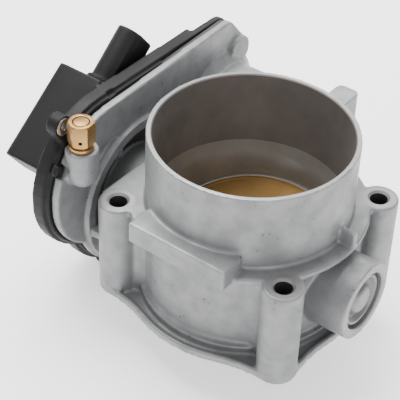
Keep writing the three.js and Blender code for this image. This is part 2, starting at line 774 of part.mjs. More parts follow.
// ---- Sector gear, magnet and return spring ----
const sectorPitchDeg = 360 / sectorTeeth;
const teethBehind = Math.ceil((OPEN_DEG + 10) / sectorPitchDeg);
const teethAhead = Math.ceil((CLOSED_DEG + 10) / sectorPitchDeg);
const firstTooth = sectorMeshAngle - THREE.MathUtils.degToRad(teethBehind * sectorPitchDeg);
const sectorRootR = sectorR - 1.25 * SECTOR_MODULE;
const toothedArc = toothRow(sectorTeeth, SECTOR_MODULE, teethBehind + teethAhead + 1, firstTooth, 0, SHAFT_Z);
const lug = [-1, 1].flatMap((side) => {
  const t = THREE.MathUtils.degToRad(lugDeg + side * LUG_HALF_DEG);
  const at = (r) => [r * Math.cos(t), SHAFT_Z + r * Math.sin(t)];
  return side < 0 ? [at(STOP_RADIUS - 3.5), at(STOP_RADIUS + 3)] : [at(STOP_RADIUS + 3), at(STOP_RADIUS - 3.5)];
});
const lighteningAngle = THREE.MathUtils.degToRad(215);
const lightening = cylinderX(
  4.2,
  sectorX - SECTOR_WIDTH - 1,
  sectorX + 1,
  20 * Math.cos(lighteningAngle),
  SHAFT_Z + 20 * Math.sin(lighteningAngle),
);
const sectorGear = cut(
  join(
    cylinderX(sectorRootR - 0.3, sectorX - SECTOR_WIDTH, sectorX, 0, SHAFT_Z, 40),
    prismX(outline([[0, SHAFT_Z], ...toothedArc]), sectorX - SECTOR_WIDTH, sectorX),
    cylinderX(12, hubEndX, sectorX - 1, 0, SHAFT_Z),
    prismX(outline(lug), sectorX - 1, sectorX + 4.5),
  ),
  cylinderX(SHAFT_R + GAP, shaftEndX - GAP, sectorX + 1, 0, SHAFT_Z, 32),
  cylinderX(2, hubEndX - 1, sectorX, 0, SHAFT_Z, 20),
  cylinderX(6.3, hubEndX - 1, hubEndX + 1.9, 0, SHAFT_Z),
  turnedX(ringProfile(14, 23, sectorX - SECTOR_WIDTH - 1, sectorX - SECTOR_WIDTH + 1.5), 0, SHAFT_Z, 32),
);
part("sector_gear", cut(sectorGear, lightening), gearPlastic, throttle);
part("sensor_magnet", cylinderX(6, hubEndX + 0.1, hubEndX + 1.6, 0, SHAFT_Z), magnet, throttle);

const bushR = SPRING_R - SPRING_WIRE_R - 2 * GAP;
ringPart("spring_bush", SHAFT_R + GAP, bushR, sectorX + GAP, springX - 0.2, blackPlastic);

class Helix extends THREE.Curve {
  getPoint(t, target = new THREE.Vector3()) {
    const turn = 2 * Math.PI * SPRING_TURNS * t;
    const x = springX - SPRING_WIRE_R - t * (springLength - 2 * SPRING_WIRE_R - GAP);
    return target.set(x, SPRING_R * Math.cos(turn), SHAFT_Z + SPRING_R * Math.sin(turn));
  }
}
const wire = new THREE.ExtrudeGeometry(outline(circlePoints(0, 0, SPRING_WIRE_R, 5)), {
  steps: SPRING_TURNS * 14,
  extrudePath: new Helix(),
});
part("return_spring", solid(wire), steel);

// ---- Intermediate gear on its pin ----
const middleGear = new THREE.Group();
middleGear.name = "intermediate";
throttleBody.add(middleGear);
function wholeWheel(teeth, module, firstAngle, { y, z }, x0, x1) {
  return prismX(outline(toothRow(teeth, module, teeth, firstAngle, y, z)), x0, x1);
}

const pinionPhase = sectorMeshAngle + Math.PI + Math.PI / PINION_TEETH;
part(
  "intermediate_gear",
  cut(
    join(
      wholeWheel(wheelTeeth, WHEEL_MODULE, wheelMeshAngle, middle, wheelX - WHEEL_WIDTH, wheelX),
      wholeWheel(PINION_TEETH, SECTOR_MODULE, pinionPhase, middle, hubEndX + 2, wheelX - 1),
    ),
    cylinderX(MIDDLE_PIN_R + RUN, hubEndX, wheelX + 1, middle.y, middle.z),
    turnedX(ringProfile(10.5, wheelR - 3, wheelX - 1.2, wheelX + 1), middle.y, middle.z),
  ),
  gearPlastic,
  middleGear,
);
part("intermediate_pin", cylinderX(MIDDLE_PIN_R, coverInX - 1.3, seamX + 2, middle.y, middle.z), steel);

// ---- Motor ----
const rotor = new THREE.Group();
rotor.name = "rotor";
throttleBody.add(rotor);
const canEndX = motorFloorX - 1.5;
const canMouthX = seamX + 1;
part(
  "motor_can",
  turnedX(
    [
      [1.9, canEndX - 4],
      [4, canEndX - 4],
      [4, canEndX - 1.2],
      [MOTOR_R - 1, canEndX - 1.2],
      [MOTOR_R - 1, canMouthX],
      [MOTOR_R, canMouthX],
      [MOTOR_R, canEndX - 1.5],
      [MOTOR_R - 1.5, canEndX],
      [1.9, canEndX],
      [1.9, canEndX - 4],
    ],
    motor.y,
    motor.z,
  ),
  steel,
);
const motorAt = [motor.y, motor.z];
ringAt("motor_end_cap", 1.9, MOTOR_R - 1 - GAP, seamX + GAP, seamX + 4.5, motorAt, blackPlastic);
part(
  "motor_plate",
  cut(
    join(
      cylinderX(MOTOR_R + 2, motorPlateX - 1.5, motorPlateX, ...motorAt),
      ...motorScrews.map((at) => cylinderX(3.6, motorPlateX - 1.5, motorPlateX, ...at)),
    ),
    cylinderX(5, motorPlateX - 2, motorPlateX + 1, ...motorAt),
    cylinderX(MIDDLE_BOSS_R + GAP, motorPlateX - 2, motorPlateX + 1, middle.y, middle.z),
    ...motorScrews.map((at) => cylinderX(MOTOR_SCREW_R + GAP, motorPlateX - 2, motorPlateX + 1, ...at, 16)),
  ),
  steel,
);
motorScrews.forEach(([y, z], i) => {
  const seat = motorPlateX - 1.5 - 0.1;
  part(
    `motor_screw_${i + 1}`,
    turnedX(
      [
        [0, seat - 1.1],
        [2.3, seat - 1],
        [2.5, seat - 0.6],
        [2.5, seat],
        [MOTOR_SCREW_R, seat],
        [MOTOR_SCREW_R, seamX + 5.5],
        [0, seamX + 5.5],
      ],
      y,
      z,
      16,
    ),
    steel,
  );
});
ringAt("wave_spring", 10, 15, canEndX + GAP, motorFloorX - GAP, motorAt, steel);
[0, Math.PI].forEach((start, i) => {
  const shape = new THREE.Shape();
  shape.absarc(motor.y, motor.z, MOTOR_R - 1.3, start + 0.35, start + Math.PI - 0.35, false);
  shape.absarc(motor.y, motor.z, MOTOR_R - 4.8, start + Math.PI - 0.35, start + 0.35, true);
  part(`motor_magnet_${i + 1}`, prismX(shape, seamX + 12, canEndX - 6), magnet);
});
const armatureX = seamX + 14;
const slots = circlePoints(...motorAt, MOTOR_R - 5.4, 5);
part(
  "motor_armature",
  cut(
    cylinderX(MOTOR_R - 5.4, armatureX, canEndX - 8, ...motorAt),
    cylinderX(MOTOR_SHAFT_R + RUN, armatureX - 1, canEndX, ...motorAt),
    ...slots.map((at) => cylinderX(1.7, armatureX - 1, canEndX, ...at, 12)),
  ),
  copper,
  rotor,
);
const commutator = turnedX(ringProfile(MOTOR_SHAFT_R + RUN, 4.6, seamX + 5.5, armatureX - GAP), ...motorAt);
part("motor_commutator", commutator, copper, rotor);
part("motor_shaft", cylinderX(MOTOR_SHAFT_R, wheelX - WHEEL_WIDTH - 1, canEndX - 1, ...motorAt), steel, rotor);
const motorPinionPhase = wheelMeshAngle + Math.PI + Math.PI / MOTOR_TEETH;
part(
  "motor_pinion",
  cut(
    wholeWheel(MOTOR_TEETH, WHEEL_MODULE, motorPinionPhase, motor, wheelX - WHEEL_WIDTH - 0.5, wheelX + 0.5),
    cylinderX(MOTOR_SHAFT_R + RUN, wheelX - WHEEL_WIDTH - 2, wheelX + 2, ...motorAt),
  ),
  brass,
  rotor,
);

// ---- Stop screw and its nut ----
const stopTipX = sectorX + 2.5;
part("stop_screw", cylinderX(STOP_SCREW_R, stopTipX, recessX + 3.6, ...stopAt, 20), steel);
part(
  "stop_screw_nut",
  cut(
    prismX(outline(circlePoints(...stopAt, 3.1, 6)), recessX + GAP, recessX + 2.7),
    cylinderX(STOP_SCREW_R + 0.15, recessX - 1, recessX + 4, ...stopAt, 20),
  ),
  steel,
);

// ---- Cover ----
const bandLowX = seamX - 5.3;
const lowBandY = motor.y - 10;

function boxRound(inset) {
  const r = 4 - inset * 0.6;
  const xs = [boxX + inset + r, bandX + 6];
  const downs = [inset + r, BOX_THICKNESS - inset - r];
  const corners = xs.flatMap((x) => downs.map((down) => [x, down, r]));
  return hullOfCircles(corners, 0, 24);
}

function connectorOutline(grow) {
  const r = CONNECTOR_HALF_WIDTH + grow;
  const straight = CONNECTOR_HALF_LENGTH - CONNECTOR_HALF_WIDTH;
  return hullOfCircles(
    [-straight, straight].map((shift) => [connectorX, connectorDown + shift, r]),
    0,
    32,
  );
}

const keepBehindBand = block([bandX, -200, -200], [0, 200, 200]);
const slantedBox = cut(prismAlong(boxFrame, outline(boxRound(0)), 0, BOX_LENGTH), keepBehindBand);
const shroud = join(
  prismAlong(plugFrame, outline(connectorOutline(0)), 20, mouthAlong),
  prismAlong(plugFrame, outline(connectorOutline(1.6)), BOX_LENGTH + 0.6, BOX_LENGTH + 4),
  prismAlong(
    plugFrame,
    outline([
      [connectorX + 2.6, connectorDown - 8.6],
      [connectorX + 5.6, connectorDown - 7.4],
      [connectorX + 5.6, connectorDown],
      [connectorX + 2.6, connectorDown],
    ]),
    BOX_LENGTH - 2,
    mouthAlong - 1.5,
  ),
);
const band = cut(
  join(
    lobedPrism(rimCircles, COVER_EDGE, bandX, seamX - 2),
    lobedPrism(rimCircles, COVER_EDGE - 1.6, seamX - 3, seamX - GAP),
    ...coverScrews.map((screw) => earPrism(screw, EAR_R + 0.5, bandX, seamX - GAP)),
    earPrism({ at: eyeAt, root: eyeRoot }, BUSH_R + EYE_WALL, bandX + 2, seamX - GAP),
  ),
  block([bandX - 1, lowBandY, -100], [bandLowX, 200, 200]),
);
const deepOutline = (grow) => outline(hullOfCircles(deepCircles, grow));
const deepBody = join(
  prismX(deepOutline(0), coverX + 3, bandLowX + 2),
  prismX(deepOutline(-1), coverX + 1.1, coverX + 3),
  prismX(deepOutline(-3), coverX, coverX + 1.1),
);
const dome = turnedX(
  [
    [0, coverX - DOME_HEIGHT],
    [DOME_R - 3, coverX - DOME_HEIGHT],
    [DOME_R - 0.8, coverX - DOME_HEIGHT + 1.6],
    [DOME_R, coverX + 2],
    [0, coverX + 2],
  ],
  0,
  SHAFT_Z,
  36,
);
const snapTongue = snapBlock(2.2, lobe[2] - 1.8, lobe[2] + COVER_EDGE - 0.2, seamX - 1, seamX + 2.2);
const innerBand = cut(
  lobedPrism(caseCircles, -3.1, bandX + 2.2, seamX + 3),
  block([bandX, lowBandY, -100], [bandLowX + 2.2, 200, 200]),
);
function sealRing(outer, inner, x0, x1) {
  return cut(lobedPrism(caseCircles, outer, x0, x1), lobedPrism(caseCircles, inner, x0 - 1, x1 + 1));
}

const sealGroove = sealRing(-0.5, -2.4, seamX - 2, seamX);
const socketFloor = BOX_LENGTH + 9;
const pins = [-1, 1].flatMap((row) => [-1, 0, 1].map((column) => [row, column]));

function pinBlock([row, column], size, u0, u1) {
  const x = connectorX + (row * PIN_ROW_SPACING) / 2;
  const down = connectorDown + column * PIN_SPACING;
  return prismAlong(plugFrame, outline(circlePoints(x, down, size / Math.SQRT2, 4, Math.PI / 4)), u0, u1);
}

const coverCavity = join(
  innerBand,
  prismX(deepOutline(-COVER_WALL), coverInX, seamX),
  cylinderX(DOME_R - 2, coverX - DOME_HEIGHT + 2.3, coverInX + 1, 0, SHAFT_Z, 32),
  cut(
    prismAlong(boxFrame, outline(boxRound(COVER_WALL)), COVER_WALL, BOX_LENGTH - COVER_WALL),
    block([bandX + 2.4, -200, -200], [0, 200, 200]),
  ),
  prismAlong(plugFrame, outline(connectorOutline(-CONNECTOR_WALL)), BOX_LENGTH - 14, socketFloor - 3),
);
const cover = cut(
  join(band, deepBody, dome, slantedBox, shroud, snapTongue),
  coverCavity,
  sealGroove,
  cylinderX(MIDDLE_PIN_R + GAP, coverInX - 1.6, coverInX + 1, middle.y, middle.z),
  prismAlong(plugFrame, outline(connectorOutline(-CONNECTOR_WALL)), socketFloor, mouthAlong + 1),
  block([seamX - 2.6, -13.5, caseTopZ + 0.6], [seamX + 1, -8.5, caseTopZ + 6]),
  cylinderX(BUSH_R + RUN, bandX - 1, seamX + 1, ...eyeAt),
  ...pins.map((pin) => pinBlock(pin, PIN_SIZE + 2 * GAP, socketFloor - 4, socketFloor + 1)),
  ...coverScrews.map(({ at }) => cylinderX(COVER_SCREW_R + GAP, bandX + 1, seamX, ...at)),
);
part("gear_cover", cover, blackPlastic);
pins.forEach((pin, i) => {
  part(`connector_pin_${i + 1}`, pinBlock(pin, PIN_SIZE, socketFloor - 7, mouthAlong - 5), brass);
});
ringAt("eye_bush", BUSH_HOLE_R, BUSH_R, bandX + 2, seamX - GAP, eyeAt, steel);
part("cover_seal", sealRing(-0.7, -2.2, seamX - 1.7, seamX - 0.15), rubber);
const domeInX = coverX - DOME_HEIGHT + 2.3;
part("sensor_board", cylinderX(DOME_R - 2.3, domeInX + GAP, domeInX + GAP + 1.5, 0, SHAFT_Z, 32), board);

coverScrews.forEach(({ at: [y, z] }, i) => {
  const seat = wallX + GAP;
  const end = seat + COVER_HEAD_HEIGHT;
  const screw = cut(
    turnedX(
      [
        [0, bandX + 1.5],
        [COVER_SCREW_R, bandX + 1.5],
        [COVER_SCREW_R, seat],
        [COVER_HEAD_R, seat],
        [COVER_HEAD_R, end - 0.8],
        [COVER_HEAD_R - 1, end],
        [0, end],
      ],
      y,
      z,
    ),
    prismX(outline(circlePoints(y, z, 2, 6)), end - 1.6, end + 1),
  );
  part(`cover_screw_${i + 1}`, screw, steel);
});

// ---- Brass vent ----
const ventSeatZ = ventTopZ + GAP;
const ventEndZ = ventTopZ + VENT_HEIGHT;
const collarTopZ = ventSeatZ + 1.6;
const hexLowZ = collarTopZ + 1;
const sideHole = cylinderX(0.8, 0, hexR + 1, 0, ventEndZ - 7.5, 12)
  .rotate([0, 0, THREE.MathUtils.radToDeg(VENT_TURN) - 90])
  .translate([ventX, VENT_Y, 0]);
const hexagon = prismZ(outline(circlePoints(ventX, VENT_Y, hexR, 6, VENT_TURN)), hexLowZ, ventEndZ);
const chamferedRound = turnedZ(
  [
    [0, hexLowZ],
    [hexR - 0.7, hexLowZ],
    [hexR + 0.1, hexLowZ + 0.8],
    [hexR + 0.1, ventEndZ - 0.8],
    [hexR - 0.7, ventEndZ],
    [0, ventEndZ],
  ],
  ventX,
  VENT_Y,
);
const ventBody = cut(
  join(
    cylinderZ(VENT_BORE_R - GAP, ventTopZ - 8, ventSeatZ + 0.5, ventX, VENT_Y, 20),
    cylinderZ(VENT_FLATS / 2 + 0.3, ventSeatZ, collarTopZ, ventX, VENT_Y),
    cylinderZ(VENT_FLATS / 2 - 0.8, collarTopZ - 0.5, hexLowZ + 0.5, ventX, VENT_Y),
    hexagon.intersect(chamferedRound),
  ),
  cylinderZ(VENT_CORE_R + VENT_RING, ventEndZ - 6, ventEndZ + 1, ventX, VENT_Y),
  cylinderZ(VENT_WAY_R, ventTopZ - 9, ventEndZ - 5, ventX, VENT_Y, 16),
  sideHole,
);
part("vent_body", ventBody, brass);
part("vent_core", cylinderZ(VENT_CORE_R, ventEndZ - 6 + GAP, ventEndZ - 0.1, ventX, VENT_Y), brass);

export default throttleBody;
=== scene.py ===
import json
import math

import bpy
from mathutils import Matrix, Vector


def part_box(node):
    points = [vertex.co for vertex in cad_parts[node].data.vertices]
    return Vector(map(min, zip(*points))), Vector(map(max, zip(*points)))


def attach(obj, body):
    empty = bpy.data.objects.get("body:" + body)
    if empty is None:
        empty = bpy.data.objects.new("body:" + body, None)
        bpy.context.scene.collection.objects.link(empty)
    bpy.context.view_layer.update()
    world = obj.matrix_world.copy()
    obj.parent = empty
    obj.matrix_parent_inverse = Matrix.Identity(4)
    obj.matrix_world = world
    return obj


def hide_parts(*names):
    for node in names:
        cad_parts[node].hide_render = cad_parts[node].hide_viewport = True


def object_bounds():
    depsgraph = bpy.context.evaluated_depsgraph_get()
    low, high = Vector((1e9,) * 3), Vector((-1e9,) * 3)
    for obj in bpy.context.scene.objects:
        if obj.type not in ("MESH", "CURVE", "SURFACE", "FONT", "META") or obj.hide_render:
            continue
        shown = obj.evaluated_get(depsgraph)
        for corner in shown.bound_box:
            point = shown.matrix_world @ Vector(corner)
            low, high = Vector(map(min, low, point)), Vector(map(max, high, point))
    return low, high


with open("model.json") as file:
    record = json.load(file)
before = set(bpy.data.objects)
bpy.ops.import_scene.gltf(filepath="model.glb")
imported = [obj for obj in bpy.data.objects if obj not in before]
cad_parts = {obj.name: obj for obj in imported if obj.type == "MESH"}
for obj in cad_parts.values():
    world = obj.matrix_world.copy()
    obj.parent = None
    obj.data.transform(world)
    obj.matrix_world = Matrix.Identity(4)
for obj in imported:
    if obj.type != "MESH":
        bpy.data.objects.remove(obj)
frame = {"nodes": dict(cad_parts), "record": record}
cad_low, cad_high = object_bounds()


# ---- Studio ----
# A plain white sweep under the part, one broad soft light overhead and to the left, and a weaker fill,
# as small parts are lit on a table. The floor lies just under the lowest point of the gear case.
def flat_white(name, colour, roughness, glow):
    paint = bpy.data.materials.new(name)
    paint.use_nodes = True
    shader = paint.node_tree.nodes["Principled BSDF"]
    shader.inputs["Roughness"].default_value = roughness
    shader.inputs["Emission Color"].default_value = (1, 1, 1, 1)
    shader.inputs["Emission Strength"].default_value = glow
    grain = paint.node_tree.nodes.new("ShaderNodeTexNoise")
    grain.inputs["Scale"].default_value = 4.0
    tint = paint.node_tree.nodes.new("ShaderNodeMix")
    tint.data_type = "RGBA"
    tint.inputs[6].default_value = (*colour, 1)
    tint.inputs[7].default_value = (*[c * 0.985 for c in colour], 1)
    paint.node_tree.links.new(grain.outputs["Fac"], tint.inputs[0])
    paint.node_tree.links.new(tint.outputs[2], shader.inputs["Base Color"])
    return paint


bpy.ops.object.select_all(action="DESELECT")
bpy.ops.mesh.primitive_plane_add(size=6, location=(0, 0, cad_low[2] - 0.0004))
floor = bpy.context.active_object
floor.name = "studio_floor"
floor.data.materials.append(flat_white("studio_paper", (0.93, 0.93, 0.93), 0.9, 0.9))

world = bpy.data.worlds.new("studio_air")
bpy.context.scene.world = world
world.use_nodes = True
world.node_tree.nodes["Background"].inputs["Color"].default_value = (1, 1, 1, 1)
world.node_tree.nodes["Background"].inputs["Strength"].default_value = 0.85


def soft_box(name, place, aim, size, power):
    lamp = bpy.data.lights.new(name, "AREA")
    lamp.shape = "RECTANGLE"
    lamp.size, lamp.size_y = size
    lamp.energy = power
    holder = bpy.data.objects.new(name, lamp)
    bpy.context.collection.objects.link(holder)
    holder.location = place
    holder.rotation_euler = (Vector(aim) - Vector(place)).to_track_quat("-Z", "Y").to_euler()


soft_box("overhead_box", (-0.3, 0.1, 0.75), (0, 0, 0.03), (0.6, 0.6), 15.0)
soft_box("front_box", (0.75, -0.55, 0.35), (0, 0, 0.03), (0.5, 0.5), 3.0)
soft_box("back_box", (-0.2, 0.85, 0.5), (0, 0, 0.03), (0.7, 0.4), 5.0)


# ---- Camera ----
# A long lens held a little over half a metre away, looking down along the front right of the part,
# and tipped slightly out of level.
azimuth, elevation, roll = math.radians(35.783), math.radians(39.331), math.radians(2.298)
away = Vector((
    math.sin(azimuth) * math.cos(elevation),
    -math.cos(azimuth) * math.cos(elevation),
    math.sin(elevation),
))
level = (-away).cross(Vector((0, 0, 1))).normalized()
upward = level.cross(-away)
distance = 0.55275
aim = Vector((0, 0, 0.05)) - 0.020126 * level - 0.004904 * upward
across = math.cos(roll) * level + math.sin(roll) * upward
rise = math.cos(roll) * upward - math.sin(roll) * level
lens = bpy.data.cameras.new("bench_camera")
lens.lens = 122.68
lens.sensor_width = 36
camera = bpy.data.objects.new("bench_camera", lens)
bpy.context.collection.objects.link(camera)
stance = Matrix((across, rise, away)).transposed().to_4x4()
camera.matrix_world = Matrix.Translation(aim + distance * away) @ stance
bpy.context.scene.camera = camera


# ---- Cast housing ----
# One aluminium casting: inlet tube, four bolt bosses, flange, gear case and motor housing. Its edges are
# rounded as a casting's are, then the air passage, rim, bolt holes and bores are turned and drilled sharp.
def select_only(piece):
    bpy.ops.object.select_all(action="DESELECT")
    bpy.context.view_layer.objects.active = piece
    piece.select_set(True)


# A merged copy of a node with no material, ready to be shaped.
def bare_copy(node, name):
    copy = frame["nodes"][node].copy()
    copy.data = copy.data.copy()
    copy.name = name
    copy.parent = None
    copy.matrix_world = Matrix.Identity(4)
    copy.data.materials.clear()
    bpy.context.collection.objects.link(copy)
    select_only(copy)
    bpy.ops.object.mode_set(mode="EDIT")
    bpy.ops.mesh.select_all(action="SELECT")
    bpy.ops.mesh.remove_doubles(threshold=0.000001)
    bpy.ops.object.mode_set(mode="OBJECT")
    return copy


def take_modifier(piece, kind, **settings):
    select_only(piece)
    modifier = piece.modifiers.new(kind.lower(), kind)
    for key, value in settings.items():
        setattr(modifier, key, value)
    bpy.ops.object.modifier_apply(modifier=modifier.name)


# Join or cut with a tool, which is used up.
def carve(piece, tool, how):
    take_modifier(piece, "BOOLEAN", object=tool, operation=how, solver="EXACT")
    bpy.data.objects.remove(tool)


# A round bar between two points, in millimetres.
def rod(radius, start, end, sides=96):
    start, end = Vector(start) * 0.001, Vector(end) * 0.001
    bpy.ops.object.select_all(action="DESELECT")
    bpy.ops.mesh.primitive_cylinder_add(
        vertices=sides, radius=radius * 0.001, depth=(end - start).length,
        location=(start + end) / 2, rotation=(end - start).to_track_quat("Z", "Y").to_euler(),
    )
    bpy.ops.object.transform_apply(location=True, rotation=True, scale=True)
    return bpy.context.active_object


# A profile of (radius, height) spun round an axis through the point `foot`, in millimetres.
def spun(name, profile, foot, axis, steps=128):
    bpy.ops.object.select_all(action="DESELECT")
    bpy.ops.mesh.primitive_circle_add(vertices=len(profile), radius=0.001)
    piece = bpy.context.active_object
    piece.name = name
    side = Vector(axis).orthogonal().normalized()
    for corner, (radius, height) in zip(piece.data.vertices, profile):
        corner.co = (Vector(foot) + side * radius + Vector(axis) * height) * 0.001
    bpy.ops.object.transform_apply(location=True, rotation=True, scale=True)
    bpy.ops.object.mode_set(mode="EDIT")
    bpy.ops.mesh.select_all(action="SELECT")
    bpy.ops.mesh.spin(steps=steps, angle=math.tau, center=Vector(foot) * 0.001, axis=axis)
    bpy.ops.mesh.select_all(action="SELECT")
    bpy.ops.mesh.remove_doubles(threshold=0.000002)
    bpy.ops.mesh.normals_make_consistent(inside=False)
    bpy.ops.object.mode_set(mode="OBJECT")
    return piece


def smooth_by(piece, degrees):
    select_only(piece)
    bpy.ops.object.shade_smooth_by_angle(angle=math.radians(degrees))


# The middle of a node's box, in millimetres.
def middle_of(node):
    return sum((Vector(corner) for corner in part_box(node)), Vector()) * 500


# Sizes in millimetres. Each raw radius is a little over size, because the smoothing takes a skin off again.
raw_skin, raw_boss_skin = 0.06, 0.04
height = 79.3
throttle_radius, inlet_radius, tube_radius = 37.5, 40.0, 42.5
step_low, step_high = 42.5, 45.0
boss_radius, boss_top, bolt_radius = 8.2, 45.5, 3.7
plug_boss_radius, plug_face = 16.7, 58.5
motor_body_radius, motor_pocket_radius = 22.0, 18.5
bolt_x, bolt_y = 40.69, 34.51
bolt_places = [(x, y) for x in (-bolt_x, bolt_x) for y in (-bolt_y, bolt_y)]
shaft_axis = middle_of("plug_side_bearing")
motor_middle = middle_of("motor_can")


# A rod along X on the motor's axis.
def motor_rod(radius, start, end):
    _, y, z = motor_middle
    return rod(radius, (start, y, z), (end, y, z))


casting = bare_copy("housing", "cast_housing")
carve(casting, rod(tube_radius + raw_skin, (0, 0, 46), (0, 0, height), 192), "UNION")
carve(casting, rod(tube_radius + raw_skin, (0, 0, 5.5), (0, 0, 42.6), 192), "UNION")
for x, y in bolt_places:
    carve(casting, rod(boss_radius + raw_boss_skin, (x, y, 0), (x, y, boss_top), 64), "UNION")
    carve(casting, rod(bolt_radius, (x, y, -1), (x, y, boss_top + 1.5), 48), "DIFFERENCE")
plug_boss = rod(plug_boss_radius + raw_skin, (36, 0, shaft_axis.z), (plug_face, 0, shaft_axis.z))
carve(casting, plug_boss, "UNION")
carve(casting, motor_rod(motor_body_radius + raw_skin, -54, -12), "UNION")
carve(casting, motor_rod(motor_pocket_radius, -63, -13), "DIFFERENCE")
passage = spun(
    "passage_tool",
    [
        (0, -2), (throttle_radius, -2), (throttle_radius, step_low),
        (inlet_radius, step_high), (inlet_radius, 82), (0, 82),
    ],
    (0, 0, 0), (0, 0, 1), 192,
)
carve(casting, passage, "DIFFERENCE")
plug_seat = spun(
    "plug_tool",
    [(0, 36), (8.3, 36), (8.3, 51), (11.6, 51), (11.6, 55.5), (12.5, 55.5), (12.5, 60), (0, 60)],
    (0, 0, shaft_axis.z), (1, 0, 0), 96,
)
carve(casting, plug_seat, "DIFFERENCE")
take_modifier(casting, "REMESH", mode="VOXEL", voxel_size=0.0006, adaptivity=0)
take_modifier(casting, "SMOOTH", factor=0.5, iterations=5)
take_modifier(casting, "DECIMATE", ratio=0.3)

turning = spun(
    "turning_tool",
    [
        (0, -3), (throttle_radius + 0.7, -3), (throttle_radius + 0.7, -0.2), (throttle_radius + 0.25, 0.4),
        (throttle_radius + 0.25, 37), (throttle_radius + 1.1, 41), (inlet_radius + 0.25, 45.6),
        (inlet_radius + 0.25, height - 0.6), (inlet_radius + 0.7, height - 0.1),
        (46, height - 0.1), (46, 84), (0, 84),
    ],
    (0, 0, 0), (0, 0, 1), 192,
)
carve(casting, turning, "DIFFERENCE")
seat_z = boss_top - 0.08
for x, y in bolt_places:
    drill = spun(
        "bolt_drill",
        [
            (0, -2), (bolt_radius + 0.02, -2), (bolt_radius + 0.02, 44.6),
            (bolt_radius + 1, seat_z), (7.0, seat_z), (7.0, 52), (0, 52),
        ],
        (x, y, 0), (0, 0, 1), 64,
    )
    carve(casting, drill, "DIFFERENCE")
boring = spun(
    "boring_tool",
    [
        (0, 54), (11.65, 54), (11.65, 55.45), (12.6, 55.45), (12.6, 57.9),
        (13.1, plug_face - 0.1), (20, plug_face - 0.1), (20, 62), (0, 62),
    ],
    (0, 0, shaft_axis.z), (1, 0, 0), 96,
)
carve(casting, boring, "DIFFERENCE")
smooth_by(casting, 38)


# Grain, clouding and small pits of a metal or moulded skin, for any material that asks for them.
def skin_texture():
    group = bpy.data.node_groups.new("skin_texture", "ShaderNodeTree")
    face = group.interface
    face.new_socket("Place", in_out="INPUT", socket_type="NodeSocketVector")
    defaults = {"Grain Size": 1800.0, "Cloud Size": 60.0, "Pit Size": 260.0, "Pit Amount": 0.08}
    for name, value in defaults.items():
        face.new_socket(name, in_out="INPUT", socket_type="NodeSocketFloat").default_value = value
    for name in ("Height", "Cloud", "Pits"):
        face.new_socket(name, in_out="OUTPUT", socket_type="NodeSocketFloat")
    entry = group.nodes.new("NodeGroupInput")
    leave = group.nodes.new("NodeGroupOutput")
    grain = group.nodes.new("ShaderNodeTexNoise")
    grain.inputs["Detail"].default_value = 4
    cloud = group.nodes.new("ShaderNodeTexNoise")
    cloud.inputs["Detail"].default_value = 5
    pits = group.nodes.new("ShaderNodeTexVoronoi")
    spread = group.nodes.new("ShaderNodeMapRange")
    spread.inputs["From Min"].default_value = 0.35
    spread.inputs["From Max"].default_value = 0.65
    deep = group.nodes.new("ShaderNodeMath")
    deep.operation = "LESS_THAN"
    chance = group.nodes.new("ShaderNodeTexNoise")
    rare = group.nodes.new("ShaderNodeMapRange")
    rare.inputs["From Min"].default_value = 0.55
    rare.inputs["From Max"].default_value = 0.7
    both = group.nodes.new("ShaderNodeMath")
    both.operation = "MULTIPLY"
    height = group.nodes.new("ShaderNodeMath")
    height.operation = "SUBTRACT"
    link = group.links.new
    sized = ((grain, "Grain Size"), (cloud, "Cloud Size"), (pits, "Pit Size"), (chance, "Cloud Size"))
    for texture, size in sized:
        link(entry.outputs["Place"], texture.inputs["Vector"])
        link(entry.outputs[size], texture.inputs["Scale"])
    link(cloud.outputs["Fac"], spread.inputs["Value"])
    link(pits.outputs["Distance"], deep.inputs[0])
    link(entry.outputs["Pit Amount"], deep.inputs[1])
    link(chance.outputs["Fac"], rare.inputs["Value"])
    link(deep.outputs["Value"], both.inputs[0])
    link(rare.outputs["Result"], both.inputs[1])
    link(grain.outputs["Fac"], height.inputs[0])
    link(both.outputs["Value"], height.inputs[1])
    link(height.outputs["Value"], leave.inputs["Height"])
    link(spread.outputs["Result"], leave.inputs["Cloud"])
    link(both.outputs["Value"], leave.inputs["Pits"])
    return group


skin = skin_texture()


